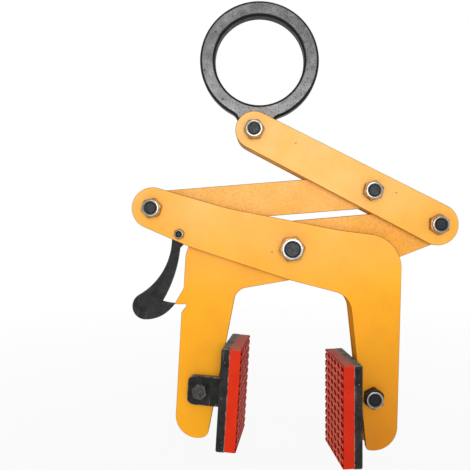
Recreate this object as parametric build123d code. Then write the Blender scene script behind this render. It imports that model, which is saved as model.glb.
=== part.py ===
from build123d import *
from math import asin, atan2, cos, hypot, radians, sin, sqrt, tan
import os

os.makedirs("parts", exist_ok=True)

# Stone lifting clamp, held open by its latch. Millimetres, +Z up, +X right,
# front at -Y. The origin is the centre of the lifting ring's eye.

# Pivots, seen from the front: distances across (x) and upright (z)
RING_DROP = 75.6  # ring pivot below the eye's centre
RING_SIDE = -5.5  # ring pivot from the eye's centre, across
CENTRE_DROP = 124.5  # centre pivot below the ring pivot
CENTRE_SIDE = 39.4  # centre pivot right of the ring pivot
RIGHT_REACH = 153.0  # right pivot right of the centre pivot
RIGHT_RISE = 25.5
LEFT_REACH = 146.1  # left pivot left of the centre pivot
LEFT_RISE = 42.5
LATCH_IN = 28.3  # latch pivot right of the left pivot
LATCH_BELOW = 27.2
MID_FROM_RING = 139.3  # along the upper arm, from the ring's pivot

# Legs and pads
LEG = 201.5  # centre pivot down to the inner jaw's toe
OUTER_LEG_MORE = 9.8  # the outer jaw's toe stands this much lower
LEFT_PAD_UP = 51.8  # pad pivots above the toes
RIGHT_PAD_UP = 56.1
LEFT_PAD_SIDE = 22.6  # right of the latch pivot
RIGHT_PAD_SIDE = 84.9  # right of the centre pivot

# The stack across the clamp
CORE_PLATE = 12.0  # single plates: inner jaw, tie link, latch
SIDE_PLATE = 8.0  # paired plates: outer jaw, upper arm
SPACER = 2.4  # washer between a single plate and a paired plate
SIDE_PLAY = 0.1  # between a washer and the plate that turns beside it
LUG_PLAY = 0.5  # each side of the ring's lug
PLATE_EDGE = 0.8  # rounding of the plates' edges

# Fits
PIVOT_PLAY = 0.08  # radial play of a bolt in its hole
OPEN_PIVOT_PLAY = 1.2  # radial play of the tie link on the mid bolt
PAD_PIVOT_PLAY = 0.9  # radial play of the pads' bolts, which lets the pads hang askew
PAD_PLAY = 0.3  # between a pad's back and the leg it leans on

# Outer jaw, corners of its outline from the centre pivot
OUTER_EYE_R = 21.8
OUTER_TOP = [(-66.9, 42.3), (50.5, 19.3)]
OUTER_SHOULDER = (116.0, 11.2)
OUTER_HEEL_SIDE = 109.9
OUTER_HEEL_DROP = 1.9  # below the toe
OUTER_TOE_SIDE = 78.0
OUTER_CROTCH = (60.9, -49.4)
OUTER_UNDER = [(-2.2, -33.0), (-106.7, 1.5)]
OUTER_SHOULDER_R = 36.0
OUTER_HEEL_R = 25.0
OUTER_TOE_R = 4.0
OUTER_CROTCH_R = 22.0
SWEEP_R = 150.0  # the long gentle bends of both jaws

# Inner jaw, corners of its arm from the centre pivot
INNER_EYE_R = 19.0
INNER_TOP = [(87.5, 36.6), (9.3, 29.9)]
INNER_UNDER = [(-1.7, -34.2), (99.9, -15.7)]

# Inner jaw, corners of its leg, across from the latch pivot and up from the centre pivot
INNER_SHOULDER = (6.6, 19.4)
INNER_SHOULDER_R = 36.0
LEG_OUTER_TOP = (3.8, -26.8)
INNER_HEEL_SIDE = -7.0
INNER_HEEL_DROP = 5.0  # below the toe
INNER_HEEL_R = 24.0
INNER_TOE_SIDE = 28.4
INNER_TOE_R = 9.0
INNER_CROTCH = (59.1, -44.1)
INNER_CROTCH_R = 15.0

# The inner jaw's tooth, from the latch pivot
TOOTH_START = (3.0, -58.0)
TOOTH_START_R = 8.0
TOOTH_REACH = 6.3  # how far the tooth's nose stands left of the latch pivot
TOOTH_NOSE = 1.2  # height of the blunt nose
TOOTH_NOTCH = 7.3  # how far the notch runs right of the latch pivot
TOOTH_DROP = 75.2  # from the latch pivot down to the tooth's underside
NOTCH_R = 1.5
NOTCH_FOOT = (0.6, -83.8)
NOTCH_FOOT_R = 3.0

# Upper arm and tie link
ARM_RING_END_R = 19.8
ARM_RIGHT_END_R = 22.0
LINK_WIDTH = 36.0

# Lifting ring
RING_OUTER_R = 63.5
RING_EYE_R = 47.5
RING_LUG_R = 19.0
RING_LUG_FILLET = 12.0
RING_EDGE = 3.0

# Latch hook, from the latch pivot. It is drawn under the tooth, then swung out to rest
LATCH_EYE_R = 9.5
LATCH_SWUNG_OUT = 8.0  # degrees
HOOK_PLAY = 0.6  # between the tooth's underside and the hook
HOOK_TIP = 3.3  # hook's tip right of the pivot
HOOK_CORNER = 10.5  # hook's inner corner left of the pivot
LATCH_NECK_LEFT = (-8.5, -8.7)
LATCH_NECK_RIGHT = (0.1, -16.0)
LATCH_BACK = (-14.6, -44.6)
LATCH_THROAT = (-3.0, -51.2)
LATCH_BELLY = (-4.7, -86.6)
LATCH_BULB = (-26.5, -81.8)
LATCH_BULB_R = 14.2
LATCH_BULB_TURN = 50.2  # degrees, where the back runs into the bulb
LATCH_EDGE = 0.6  # bevel

# Pads
PAD_HEIGHT = 104.0
PAD_DEPTH = 76.0
SHOE = 9.0
FACING = 12.0
FACING_EDGE = 1.5
SHOE_EDGE = 2.0  # rounding of the shoes' back edges
LEFT_PAD_DROP = 0.2  # pad's middle below its pivot
RIGHT_PAD_DROP = 13.0
LEFT_PAD_TILT = 3.5  # degrees, top leaning right
LEFT_PAD_YAW = 5.3  # degrees, the face turned a little to the front
RIGHT_PAD_YAW = 7.0
FORK_LUG = 6.0
FORK_PLAY = 2.0  # each side of the leg
FORK_HEIGHT = 30.5
FORK_REACH = 13.4  # past the pad's pivot
FORK_CORNER_R = 7.0
TONGUE = 12.0
TONGUE_R = 15.0

# Tread: diamond pockets between crossing ribs
TREAD_COLUMN = 18.0  # width of one diamond
TREAD_ROW = 8.0  # height of one diamond
TREAD_RIB = 1.2
TREAD_DEPTH = 2.0
TREAD_DRAFT = 25.0  # degrees, slope of the pockets' walls
TREAD_BORDER = 1.5  # at the top and bottom

# Fasteners: shank diameter, width across flats, height of the head, of the
# nut's hexagon and of its collar, collar diameter, washer diameter
M16 = (16.0, 24.0, 10.0, 12.0, 4.0, 22.8, 32.0)
M12 = (12.0, 19.0, 7.5, 9.0, 3.0, 18.2, 24.0)
M10 = (10.0, 14.0, 6.4, 7.5, 2.5, 13.8, 20.0)
M6 = (6.0, 10.0, 4.0, 4.5, 1.6, 9.4, 12.5)
COLLAR_WALL = 1.0
COLLAR_RIM = 0.7  # how far the rim rolls in over the nylon ring
RIM_HEIGHT = 0.8
INSERT_SEAT = 1.0  # depth of the nylon ring's seat in the hexagon
THREAD_SHORT = 0.5  # the bolt ends this far inside the rim
HEX_BEVEL = 0.6
BOLT_BEVEL = 0.9


def beside(pivot, offset):
    """A point of the front view, given from a pivot."""
    return (pivot[0] + offset[0], pivot[1] + offset[1])


RING_PIVOT = (RING_SIDE, -RING_DROP)
CENTRE_PIVOT = beside(RING_PIVOT, (CENTRE_SIDE, -CENTRE_DROP))
RIGHT_PIVOT = beside(CENTRE_PIVOT, (RIGHT_REACH, RIGHT_RISE))
LEFT_PIVOT = beside(CENTRE_PIVOT, (-LEFT_REACH, LEFT_RISE))
LATCH_PIVOT = beside(LEFT_PIVOT, (LATCH_IN, -LATCH_BELOW))
LEG_TOP = (LATCH_PIVOT[0], CENTRE_PIVOT[1])
outer_leg = LEG + OUTER_LEG_MORE
LEFT_PAD_PIVOT = beside(LEG_TOP, (LEFT_PAD_SIDE, LEFT_PAD_UP - LEG))
RIGHT_PAD_PIVOT = beside(CENTRE_PIVOT, (RIGHT_PAD_SIDE, RIGHT_PAD_UP - outer_leg))
arm_run = (RIGHT_PIVOT[0] - RING_PIVOT[0], RIGHT_PIVOT[1] - RING_PIVOT[1])
arm_share = MID_FROM_RING / hypot(*arm_run)
MID_PIVOT = beside(RING_PIVOT, (arm_run[0] * arm_share, arm_run[1] * arm_share))

inner_face = CORE_PLATE / 2 + SIDE_PLAY + SPACER
outer_face = inner_face + SIDE_PLATE
lug_half = inner_face - LUG_PLAY
fork_face = CORE_PLATE / 2 + FORK_PLAY
fork_outside = fork_face + FORK_LUG


def hole_r(size):
    return size[0] / 2 + PIVOT_PLAY


def touch(point, centre, radius, side):
    """Where a line from a point touches a circle, on its left (1) or right (-1)."""
    dx = centre[0] - point[0]
    dz = centre[1] - point[1]
    distance = hypot(dx, dz)
    heading = atan2(dz, dx) + side * asin(radius / distance)
    reach = sqrt(distance * distance - radius * radius)
    return (point[0] + reach * cos(heading), point[1] + reach * sin(heading))


def beyond(centre, toward, radius):
    """The far point of an eye, opposite to the arm that runs from it."""
    dx = centre[0] - toward[0]
    dz = centre[1] - toward[1]
    distance = hypot(dx, dz)
    return (centre[0] + radius * dx / distance, centre[1] + radius * dz / distance)


def armed_face(start, points, radii, centre, eye_r, stop):
    """A face whose outline runs from one side of an eye round to its other side."""
    edge = FilletPolyline(start, *points, stop, radius=radii)
    eye = ThreePointArc(stop, beyond(centre, points[0], eye_r), start)
    return make_face([*edge.edges(), *eye.edges()])


def slab(face, front, back):
    """A plate with the outline of a face drawn in the front view."""
    return extrude(Plane.XZ.offset(-back) * face, back - front)


def rim(plate, *depths):
    """The outline's edges on the plate's faces at the given depths."""
    return [e for e in plate.edges() if any(abs(e.center().Y - d) < 0.001 for d in depths)]


def soften(plate, rounding, *depths):
    return fillet(rim(plate, *depths), rounding)


def drill(plate, point, radius):
    return plate - slab(Pos(*point) * Circle(radius), -PAD_DEPTH, PAD_DEPTH)


def swung(point, angle):
    """A turn about a pivot, clockwise as seen from the front."""
    there = Pos(point[0], 0, point[1])
    back = Pos(-point[0], 0, -point[1])
    return there * Rot(0, angle, 0) * back


def askew(point, angle):
    """A turn about the upright line through a pivot, seen from above."""
    there = Pos(point[0], 0, point[1])
    back = Pos(-point[0], 0, -point[1])
    return there * Rot(0, 0, angle) * back


def hexagon(key, low, high):
    """A hexagon bar with its corners bevelled at both ends."""
    corner = key / sqrt(3)
    profile = Polyline(
        (0, low),
        (corner - 2 * HEX_BEVEL, low),
        (corner, low + HEX_BEVEL),
        (corner, high - HEX_BEVEL),
        (corner - 2 * HEX_BEVEL, high),
        (0, high),
        close=True,
    )
    turned = revolve(Plane.XZ * make_face(profile), Axis.Z)
    bar = extrude(Pos(0, 0, low) * RegularPolygon(key / 2, 6, major_radius=False), high - low)
    return turned & bar


def tube(outer, inner, low, high):
    ring = Circle(outer) - Circle(inner)
    return extrude(Pos(0, 0, low) * ring, high - low)


def rod(radius, low, high):
    return extrude(Pos(0, 0, low) * Circle(radius), high - low)


def bolt(size, half_grip):
    shank, key, head, nut_hex, collar = size[:5]
    end = half_grip + nut_hex + collar - THREAD_SHORT
    stem = rod(shank / 2, -half_grip, end)
    stem = chamfer(stem.edges().sort_by(Axis.Z)[-1], BOLT_BEVEL)
    return stem + hexagon(key, -half_grip - head, -half_grip)


def nut(size, half_grip):
    shank, key, head, nut_hex, collar, collar_width = size[:6]
    seat = half_grip + nut_hex - INSERT_SEAT
    top = half_grip + nut_hex + collar
    under_rim = collar_width / 2 - COLLAR_WALL
    body = hexagon(key, half_grip, half_grip + nut_hex)
    crown = rod(collar_width / 2, half_grip + nut_hex - HEX_BEVEL, top)
    crown = fillet(crown.edges().sort_by(Axis.Z)[-1], COLLAR_WALL)
    body = body + crown - rod(shank / 2, half_grip, seat)
    body = body - rod(under_rim, seat, top - RIM_HEIGHT)
    return body - rod(under_rim - COLLAR_RIM, seat, top)


def insert(size, half_grip):
    shank, key, head, nut_hex, collar, collar_width = size[:6]
    seat = half_grip + nut_hex - INSERT_SEAT
    top = half_grip + nut_hex + collar - RIM_HEIGHT
    return tube(collar_width / 2 - COLLAR_WALL, shank / 2, seat, top)


def facing_out(point, front=True, turn=0):
    """A frame on a pivot's axis: z runs out of the front, or out of the back."""
    out = -1 if front else 1
    frame = Plane((point[0], 0, point[1]), x_dir=(1, 0, 0), z_dir=(0, out, 0))
    return frame.location * Rot(0, 0, turn)


def fasten(name, point, size, half_grip, front=True, turn=0, seat=None):
    """Bolt, nut and nylon ring of one pivot."""
    where = facing_out(point, front, turn)
    seat = seat or Pos(0, 0, 0)
    pieces[name + "_bolt"] = seat * where * bolt(size, half_grip)
    pieces[name + "_nut"] = seat * where * nut(size, half_grip)
    pieces[name + "_insert"] = seat * where * insert(size, half_grip)


def space(name, point, size):
    """The pair of washers beside a single plate."""
    low = CORE_PLATE / 2 + SIDE_PLAY
    washer = tube(size[6] / 2, hole_r(size), low, inner_face)
    other = tube(size[6] / 2, hole_r(size), -inner_face, -low)
    pieces[name + "_spacers"] = facing_out(point) * Compound([washer, other])


def paired(name, face, holes):
    """Front and rear plates of the same outline."""
    for side, near, far in (("front", -outer_face, -inner_face), ("rear", inner_face, outer_face)):
        plate = soften(slab(face, near, far), PLATE_EDGE, near, far)
        for point, size in holes:
            plate = drill(plate, point, hole_r(size))
        pieces[name + "_" + side + "_plate"] = plate


def edge_x(top, bottom, z):
    """Where a straight edge stands at a height."""
    return bottom[0] + (top[0] - bottom[0]) * (z - bottom[1]) / (top[1] - bottom[1])


def turned_point(point, pivot, angle):
    """A point of the front view, turned clockwise about a pivot."""
    dx = point[0] - pivot[0]
    dz = point[1] - pivot[1]
    c = cos(radians(angle))
    s = sin(radians(angle))
    return (pivot[0] + dx * c + dz * s, pivot[1] - dx * s + dz * c)


def shoe_plate():
    """A pad's steel plate, its back down and rounded."""
    plate = extrude(Rectangle(PAD_DEPTH, PAD_HEIGHT), SHOE)
    return fillet(plate.edges().group_by(Axis.Z)[0], SHOE_EDGE)


def diamond(inset):
    """The outline of one tread diamond, drawn in by a distance on each side."""
    middle = TREAD_COLUMN * TREAD_ROW / 2 / hypot(TREAD_COLUMN, TREAD_ROW)
    across = TREAD_COLUMN / 2 * (1 - inset / middle)
    upright = TREAD_ROW / 2 * (1 - inset / middle)
    return make_face(Polyline((across, 0), (0, upright), (-across, 0), (0, -upright), close=True))


def tread_facing():
    """A pad's facing, its face up: staggered diamond pockets leave crossing ribs.

    The pockets run out of the facing's sides and stop short of its top and bottom.
    """
    block = extrude(Rectangle(PAD_DEPTH, PAD_HEIGHT), FACING)
    block = fillet([e for e in block.edges() if e.center().Z > FACING / 4], FACING_EDGE)
    draft = tan(radians(TREAD_DRAFT))
    mouth = Pos(0, 0, FACING + TREAD_RIB / 4) * diamond(TREAD_RIB / 2 - TREAD_RIB / 4 * draft)
    floor = Pos(0, 0, FACING - TREAD_DEPTH) * diamond(TREAD_RIB / 2 + TREAD_DEPTH * draft)
    pocket = loft([floor, mouth], ruled=True)
    columns = int(PAD_DEPTH / TREAD_COLUMN)
    rows = int((PAD_HEIGHT / 2 - TREAD_BORDER) / (TREAD_ROW / 2)) - 1
    places = [
        Pos(TREAD_COLUMN / 2 * i, TREAD_ROW / 2 * j, 0)
        for i in range(-columns, columns + 1)
        for j in range(-rows, rows + 1)
        if (i + j) % 2 == 0
    ]
    return block - [place * pocket for place in places]


pieces = {}

# Outer jaw
outer_toe = (OUTER_TOE_SIDE, -outer_leg)
outer_heel = (OUTER_HEEL_SIDE, -outer_leg - OUTER_HEEL_DROP)
outer_path = [
    beside(CENTRE_PIVOT, corner)
    for corner in (*OUTER_TOP, OUTER_SHOULDER, outer_heel, outer_toe, OUTER_CROTCH, *OUTER_UNDER)
]
outer_face_2d = armed_face(
    touch(outer_path[0], LEFT_PIVOT, OUTER_EYE_R, -1),
    outer_path,
    [
        SWEEP_R,
        SWEEP_R,
        OUTER_SHOULDER_R,
        OUTER_HEEL_R,
        OUTER_TOE_R,
        OUTER_CROTCH_R,
        SWEEP_R,
        SWEEP_R,
    ],
    LEFT_PIVOT,
    OUTER_EYE_R,
    touch(outer_path[-1], LEFT_PIVOT, OUTER_EYE_R, 1),
)
outer_holes = [(LEFT_PIVOT, M12), (CENTRE_PIVOT, M16), (LATCH_PIVOT, M6), (RIGHT_PAD_PIVOT, M12)]
paired("outer_jaw", outer_face_2d, outer_holes)
fasten("left_pivot", LEFT_PIVOT, M12, outer_face, turn=12)
space("left_pivot", LEFT_PIVOT, M12)
fasten("centre_pivot", CENTRE_PIVOT, M16, outer_face, turn=8)
space("centre_pivot", CENTRE_PIVOT, M16)
fasten("latch_pivot", LATCH_PIVOT, M6, outer_face, turn=20)
space("latch_pivot", LATCH_PIVOT, M6)
fasten("right_pad_pivot", RIGHT_PAD_PIVOT, M12, outer_face, turn=25)

# Inner jaw
inner_toe = beside(LEG_TOP, (INNER_TOE_SIDE, -LEG))
inner_crotch = beside(LEG_TOP, INNER_CROTCH)
inner_path = [
    *[beside(CENTRE_PIVOT, corner) for corner in INNER_TOP],
    *[beside(LEG_TOP, corner) for corner in (INNER_SHOULDER, LEG_OUTER_TOP)],
    beside(LATCH_PIVOT, TOOTH_START),
    beside(LATCH_PIVOT, (-TOOTH_REACH, TOOTH_NOSE - TOOTH_DROP)),
    beside(LATCH_PIVOT, (-TOOTH_REACH, -TOOTH_DROP)),
    beside(LATCH_PIVOT, (TOOTH_NOTCH, -TOOTH_DROP)),
    beside(LATCH_PIVOT, NOTCH_FOOT),
    beside(LEG_TOP, (INNER_HEEL_SIDE, -LEG - INNER_HEEL_DROP)),
    inner_toe,
    inner_crotch,
    *[beside(CENTRE_PIVOT, corner) for corner in INNER_UNDER],
]
inner_face_2d = armed_face(
    touch(inner_path[0], RIGHT_PIVOT, INNER_EYE_R, 1),
    inner_path,
    [
        SWEEP_R,
        SWEEP_R,
        INNER_SHOULDER_R,
        SWEEP_R,
        TOOTH_START_R,
        0,
        0,
        NOTCH_R,
        NOTCH_FOOT_R,
        INNER_HEEL_R,
        INNER_TOE_R,
        INNER_CROTCH_R,
        SWEEP_R,
        SWEEP_R,
    ],
    RIGHT_PIVOT,
    INNER_EYE_R,
    touch(inner_path[-1], RIGHT_PIVOT, INNER_EYE_R, -1),
)
plate = slab(inner_face_2d, -CORE_PLATE / 2, CORE_PLATE / 2)
plate = soften(plate, PLATE_EDGE, -CORE_PLATE / 2, CORE_PLATE / 2)
for point, size in ((RIGHT_PIVOT, M12), (CENTRE_PIVOT, M16)):
    plate = drill(plate, point, hole_r(size))
plate = drill(plate, LEFT_PAD_PIVOT, M10[0] / 2 + PAD_PIVOT_PLAY)
pieces["inner_jaw_plate"] = plate

# Upper arm
arm_ends = [
    *(Pos(*RING_PIVOT) * Circle(ARM_RING_END_R)).edges(),
    *(Pos(*RIGHT_PIVOT) * Circle(ARM_RIGHT_END_R)).edges(),
]
arm_holes = [(RING_PIVOT, M12), (MID_PIVOT, M12), (RIGHT_PIVOT, M12)]
paired("upper_arm", make_hull(arm_ends), arm_holes)
fasten("ring_pivot", RING_PIVOT, M12, outer_face, turn=5)
fasten("mid_pivot", MID_PIVOT, M12, outer_face, turn=18)
space("mid_pivot", MID_PIVOT, M12)
fasten("right_pivot", RIGHT_PIVOT, M12, outer_face, turn=27)
space("right_pivot", RIGHT_PIVOT, M12)

# Tie link
link_ends = [
    *(Pos(*LEFT_PIVOT) * Circle(LINK_WIDTH / 2)).edges(),
    *(Pos(*MID_PIVOT) * Circle(LINK_WIDTH / 2)).edges(),
]
link = slab(make_hull(link_ends), -CORE_PLATE / 2, CORE_PLATE / 2)
link = soften(link, PLATE_EDGE, -CORE_PLATE / 2, CORE_PLATE / 2)
link = drill(link, LEFT_PIVOT, hole_r(M12))
pieces["tie_link"] = drill(link, MID_PIVOT, M12[0] / 2 + OPEN_PIVOT_PLAY)

# Lifting ring
ring = Circle(RING_OUTER_R) + Pos(*RING_PIVOT) * Circle(RING_LUG_R)
ring = fillet(ring.vertices().sort_by(Axis.Y)[:2], RING_LUG_FILLET)
ring = ring - Circle(RING_EYE_R)
ring = slab(ring, -lug_half, lug_half)
ring = soften(ring, RING_EDGE, -lug_half, lug_half)
pieces["lifting_ring"] = drill(ring, RING_PIVOT, hole_r(M12))

# Latch hook
hook_r = TOOTH_DROP + HOOK_PLAY
tip_angle = asin(HOOK_TIP / hook_r)
corner_angle = -asin(HOOK_CORNER / hook_r)


def on_hook(angle):
    """A point of the hook's upper edge, an arc about the latch pivot."""
    return beside(LATCH_PIVOT, (hook_r * sin(angle), -hook_r * cos(angle)))


hook_tip = on_hook(tip_angle)
hook_corner = on_hook(corner_angle)
hook_middle = on_hook((tip_angle + corner_angle) / 2)
neck_left = beside(LATCH_PIVOT, LATCH_NECK_LEFT)
neck_right = beside(LATCH_PIVOT, LATCH_NECK_RIGHT)
eye_left = touch(neck_left, LATCH_PIVOT, LATCH_EYE_R, 1)
eye_right = touch(neck_right, LATCH_PIVOT, LATCH_EYE_R, -1)
bulb = beside(LATCH_PIVOT, LATCH_BULB)
bulb_turn = radians(LATCH_BULB_TURN)
bulb_top = beside(bulb, (-LATCH_BULB_R * cos(bulb_turn), LATCH_BULB_R * sin(bulb_turn)))
bulb_side = beside(bulb, (-LATCH_BULB_R, 0))
bulb_foot = beside(bulb, (0, -LATCH_BULB_R))
latch_edges = [
    ThreePointArc(neck_left, beside(LATCH_PIVOT, LATCH_BACK), bulb_top),
    ThreePointArc(bulb_top, bulb_side, bulb_foot),
    ThreePointArc(bulb_foot, beside(LATCH_PIVOT, LATCH_BELLY), hook_tip),
    ThreePointArc(hook_tip, hook_middle, hook_corner),
    ThreePointArc(hook_corner, beside(LATCH_PIVOT, LATCH_THROAT), neck_right),
    Line(neck_right, eye_right),
    ThreePointArc(eye_right, beside(LATCH_PIVOT, (0, LATCH_EYE_R)), eye_left),
    Line(eye_left, neck_left),
]
latch_face = make_face([e for curve in latch_edges for e in curve.edges()])
latch = slab(latch_face, -CORE_PLATE / 2, CORE_PLATE / 2)
latch = chamfer(rim(latch, -CORE_PLATE / 2, CORE_PLATE / 2), LATCH_EDGE)
latch = drill(latch, LATCH_PIVOT, hole_r(M6))
pieces["latch_hook"] = swung(LATCH_PIVOT, LATCH_SWUNG_OUT) * latch

# Left pad, drawn upright and square, then leaned and turned about its pivot
lean = swung(LEFT_PAD_PIVOT, LEFT_PAD_TILT) * askew(LEFT_PAD_PIVOT, -LEFT_PAD_YAW)
leg_high = turned_point(inner_crotch, LEFT_PAD_PIVOT, -LEFT_PAD_TILT)
leg_low = turned_point(inner_toe, LEFT_PAD_PIVOT, -LEFT_PAD_TILT)
middle = LEFT_PAD_PIVOT[1] - LEFT_PAD_DROP
high = middle + PAD_HEIGHT / 2
yaw_room = CORE_PLATE / 2 * tan(radians(LEFT_PAD_YAW))
left_back = edge_x(leg_high, leg_low, high) + PAD_PLAY + yaw_room
left_frame = Plane((left_back, 0, middle), x_dir=(0, 1, 0), z_dir=(1, 0, 0))
shoe = left_frame * shoe_plate()
fork_left = LEFT_PAD_PIVOT[0] - FORK_REACH
fork_low = LEFT_PAD_PIVOT[1] - FORK_HEIGHT / 2
fork_high = LEFT_PAD_PIVOT[1] + FORK_HEIGHT / 2
fork = make_face(
    FilletPolyline(
        (left_back + SHOE / 2, fork_high),
        (fork_left, fork_high),
        (fork_left, fork_low),
        (left_back + SHOE / 2, fork_low),
        radius=[0, FORK_CORNER_R, FORK_CORNER_R, 0],
        close=True,
    )
)
shoe = shoe + slab(fork, -fork_outside, -fork_face) + slab(fork, fork_face, fork_outside)
pieces["left_pad_shoe"] = lean * drill(shoe, LEFT_PAD_PIVOT, hole_r(M10))
tread = tread_facing()
pieces["left_pad_facing"] = lean * (left_frame * Pos(0, 0, SHOE) * tread)
fasten("left_pad_pivot", LEFT_PAD_PIVOT, M10, fork_outside, front=False, turn=14, seat=lean)

# Right pad
middle = RIGHT_PAD_PIVOT[1] - RIGHT_PAD_DROP
high = middle + PAD_HEIGHT / 2
leg_high = beside(CENTRE_PIVOT, OUTER_CROTCH)
leg_low = beside(CENTRE_PIVOT, outer_toe)
yaw_room = outer_face * tan(radians(RIGHT_PAD_YAW))
right_back = edge_x(leg_high, leg_low, high) - PAD_PLAY - yaw_room
right_frame = Plane((right_back, 0, middle), x_dir=(0, -1, 0), z_dir=(-1, 0, 0))
shoe = right_frame * shoe_plate()
tongue = Pos(*RIGHT_PAD_PIVOT) * Circle(TONGUE_R)
tongue_run = RIGHT_PAD_PIVOT[0] - right_back + SHOE / 2
tongue = tongue + Pos(RIGHT_PAD_PIVOT[0] - tongue_run / 2, RIGHT_PAD_PIVOT[1]) * Rectangle(
    tongue_run, 2 * TONGUE_R
)
shoe = shoe + slab(tongue, -TONGUE / 2, TONGUE / 2)
shoe = drill(shoe, RIGHT_PAD_PIVOT, M12[0] / 2 + PAD_PIVOT_PLAY)
turn = askew(RIGHT_PAD_PIVOT, RIGHT_PAD_YAW)
pieces["right_pad_shoe"] = turn * shoe
pieces["right_pad_facing"] = turn * (right_frame * Pos(0, 0, SHOE) * tread)

for name, piece in pieces.items():
    export_step(piece, "parts/" + name + ".step")
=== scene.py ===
import math
from collections import namedtuple
from contextlib import contextmanager

import bmesh
import bpy
from bpy.props import FloatProperty, FloatVectorProperty, IntProperty, PointerProperty
from mathutils import Matrix, Vector


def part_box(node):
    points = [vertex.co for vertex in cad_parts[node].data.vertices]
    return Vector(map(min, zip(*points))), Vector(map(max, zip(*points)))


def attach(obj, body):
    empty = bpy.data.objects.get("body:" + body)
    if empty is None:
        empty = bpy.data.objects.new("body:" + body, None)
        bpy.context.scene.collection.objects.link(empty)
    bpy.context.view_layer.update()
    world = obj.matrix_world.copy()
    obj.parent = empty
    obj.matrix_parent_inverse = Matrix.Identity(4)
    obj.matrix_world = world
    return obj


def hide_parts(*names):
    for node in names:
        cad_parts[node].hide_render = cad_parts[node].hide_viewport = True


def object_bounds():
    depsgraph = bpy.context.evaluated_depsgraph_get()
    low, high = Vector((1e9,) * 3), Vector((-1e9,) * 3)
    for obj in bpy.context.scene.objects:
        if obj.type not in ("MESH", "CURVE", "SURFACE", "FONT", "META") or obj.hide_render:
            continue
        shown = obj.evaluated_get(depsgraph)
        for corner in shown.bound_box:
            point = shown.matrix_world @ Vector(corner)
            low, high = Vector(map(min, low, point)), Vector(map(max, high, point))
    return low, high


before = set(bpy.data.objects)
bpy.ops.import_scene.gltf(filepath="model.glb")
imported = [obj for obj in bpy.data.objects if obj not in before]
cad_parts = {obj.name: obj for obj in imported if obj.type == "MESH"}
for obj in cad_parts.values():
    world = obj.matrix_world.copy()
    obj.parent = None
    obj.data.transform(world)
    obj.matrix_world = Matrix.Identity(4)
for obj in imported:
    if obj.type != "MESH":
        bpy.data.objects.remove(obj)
CAD_BOX = [list(corner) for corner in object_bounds()]

bl_info = {
    "name": "Stone Lifting Clamp",
    "version": (1, 0, 0),
    "blender": (4, 5, 0),
    "location": "View3D > Sidebar > Clamp",
    "description": "Finishes the pieces of a stone lifting clamp and sets a plain stage",
    "category": "Object",
}

MM = 0.001

# Points nearer than this lie in one place
SAME_PLACE = 1e-6

# Steps of a rounded edge, and the angle up to which faces are shaded as one
ROUND_STEPS = 4
SMOOTH_ANGLE = math.radians(32)

# A face whose normal points along the axis by more than this is an end face
END_FACE = 0.9

# Nuts on the clamp's front: body they ride on, size, turn of the hexagon in degrees
FRONT_NUTS = {
    "left_pivot": ("outer_jaw", "M12", 12),
    "centre_pivot": ("outer_jaw", "M16", 8),
    "latch_pivot": ("outer_jaw", "M6", 20),
    "right_pad_pivot": ("outer_jaw", "M12", 25),
    "ring_pivot": ("upper_arm", "M12", 5),
    "mid_pivot": ("upper_arm", "M12", 18),
    "right_pivot": ("upper_arm", "M12", 27),
}

# Turn from a six-sided bar's corner to its flat, in degrees
FLAT_FROM_CORNER = 30

# Shank diameter, width across flats, height of hexagon and of collar, collar diameter
NUT_SIZES = {
    "M16": (16.0, 24.0, 12.0, 4.0, 21.8),
    "M12": (12.0, 19.0, 9.0, 3.0, 17.4),
    "M6": (6.0, 10.0, 4.5, 1.6, 9.0),
}

# Width of a hexagon's bevel for its height, and how far below the rim's roll a face counts as rim
BEVEL_WIDTH = 2
BELOW_ROLL = 1.01

# How a pad hangs at rest: its pivot, lean and yaw in degrees, the side that its face looks to and
# the face's distance from the pivot. Then its rubber: the share of deep red, of the pockets'
# painted shade laid over the tread's ribs, and of ribs rubbed pale
Pad = namedtuple("Pad", "pivot lean yaw look reach deep grime pale")
PADS = {
    # The left pad's ribs get most of the pockets' painted shade
    "left": Pad(Vector((-61.3, 0.0, -349.8)) * MM, 3.5, -5.3, 1, 44.455 * MM, 0.1, 0.75, 0.32),
    "right": Pad(Vector((118.8, 0.0, -355.3)) * MM, 0.0, 7.0, -1, 40.270 * MM, 0.4, 0.0, 0.9),
}

# Left shoe in its pad's frame: the plate's back, the lugs' outer faces and the lugs' height
SHOE_BACK = 23.455 * MM
LUG_OUTSIDE = 14.0 * MM
LUG_HEIGHT = 30.5 * MM

# Welded share of a lug's height, sides of a bead, and shares of its radius where it starts,
# between two ripples and where it stops
WELDED = 0.86
BEAD_SIDES = 12
BEAD_START, BEAD_WAIST, BEAD_STOP = 0.7, 0.86, 0.6

# Heights, or places from left to right, between which a finish changes
# Heights over which the plates are painted paler toward the top, a painted sheen
SHEEN_HEIGHTS = (-0.25, -0.08)
# Heights, then places from left to right, over which the right leg is painted darker toward its foot,
# a painted shade
SHADE_HEIGHTS = (-0.24, -0.42)
SHADE_SIDE = (0.04, 0.12)
COARSE_PAINT_SIDE = (0.02, 0.07)
# Heights over which the ring's flat faces are painted darker toward the top, a painted shade
RING_SHADE_HEIGHTS = (-0.05, 0.01)
RING_SIDE = (-0.05, 0.06)

# How far a face looks to the front, or out of the pad, where a finish changes
RIM_WORN = (0.985, 0.86)
RIM_DARKER = (0.05, 0.45)
RING_FLAT = (0.97, 0.998)
TREAD_FACE = (0.25, 0.38)

# Depths below a tread's face between which the pockets are painted darker as shade, and the worn ribs
# end
POCKET_SHADE_DEPTH = (0.0001, 0.0009)
RIB_DEPTH = (0.0004, 0.0)

# Small marks on the front plates: place, reach and strength
PLATE_FRONT = -0.0165
PLATE_MARKS = (
    ((0.0131, PLATE_FRONT, -0.2036), 0.0011, 0.9),
    ((0.0026, PLATE_FRONT, -0.2245), 0.0010, 0.7),
    ((0.0383, PLATE_FRONT, -0.0894), 0.0012, 0.5),
)

WHITE = (1.0, 1.0, 1.0)
SENSOR_WIDTH = 36.0


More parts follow.
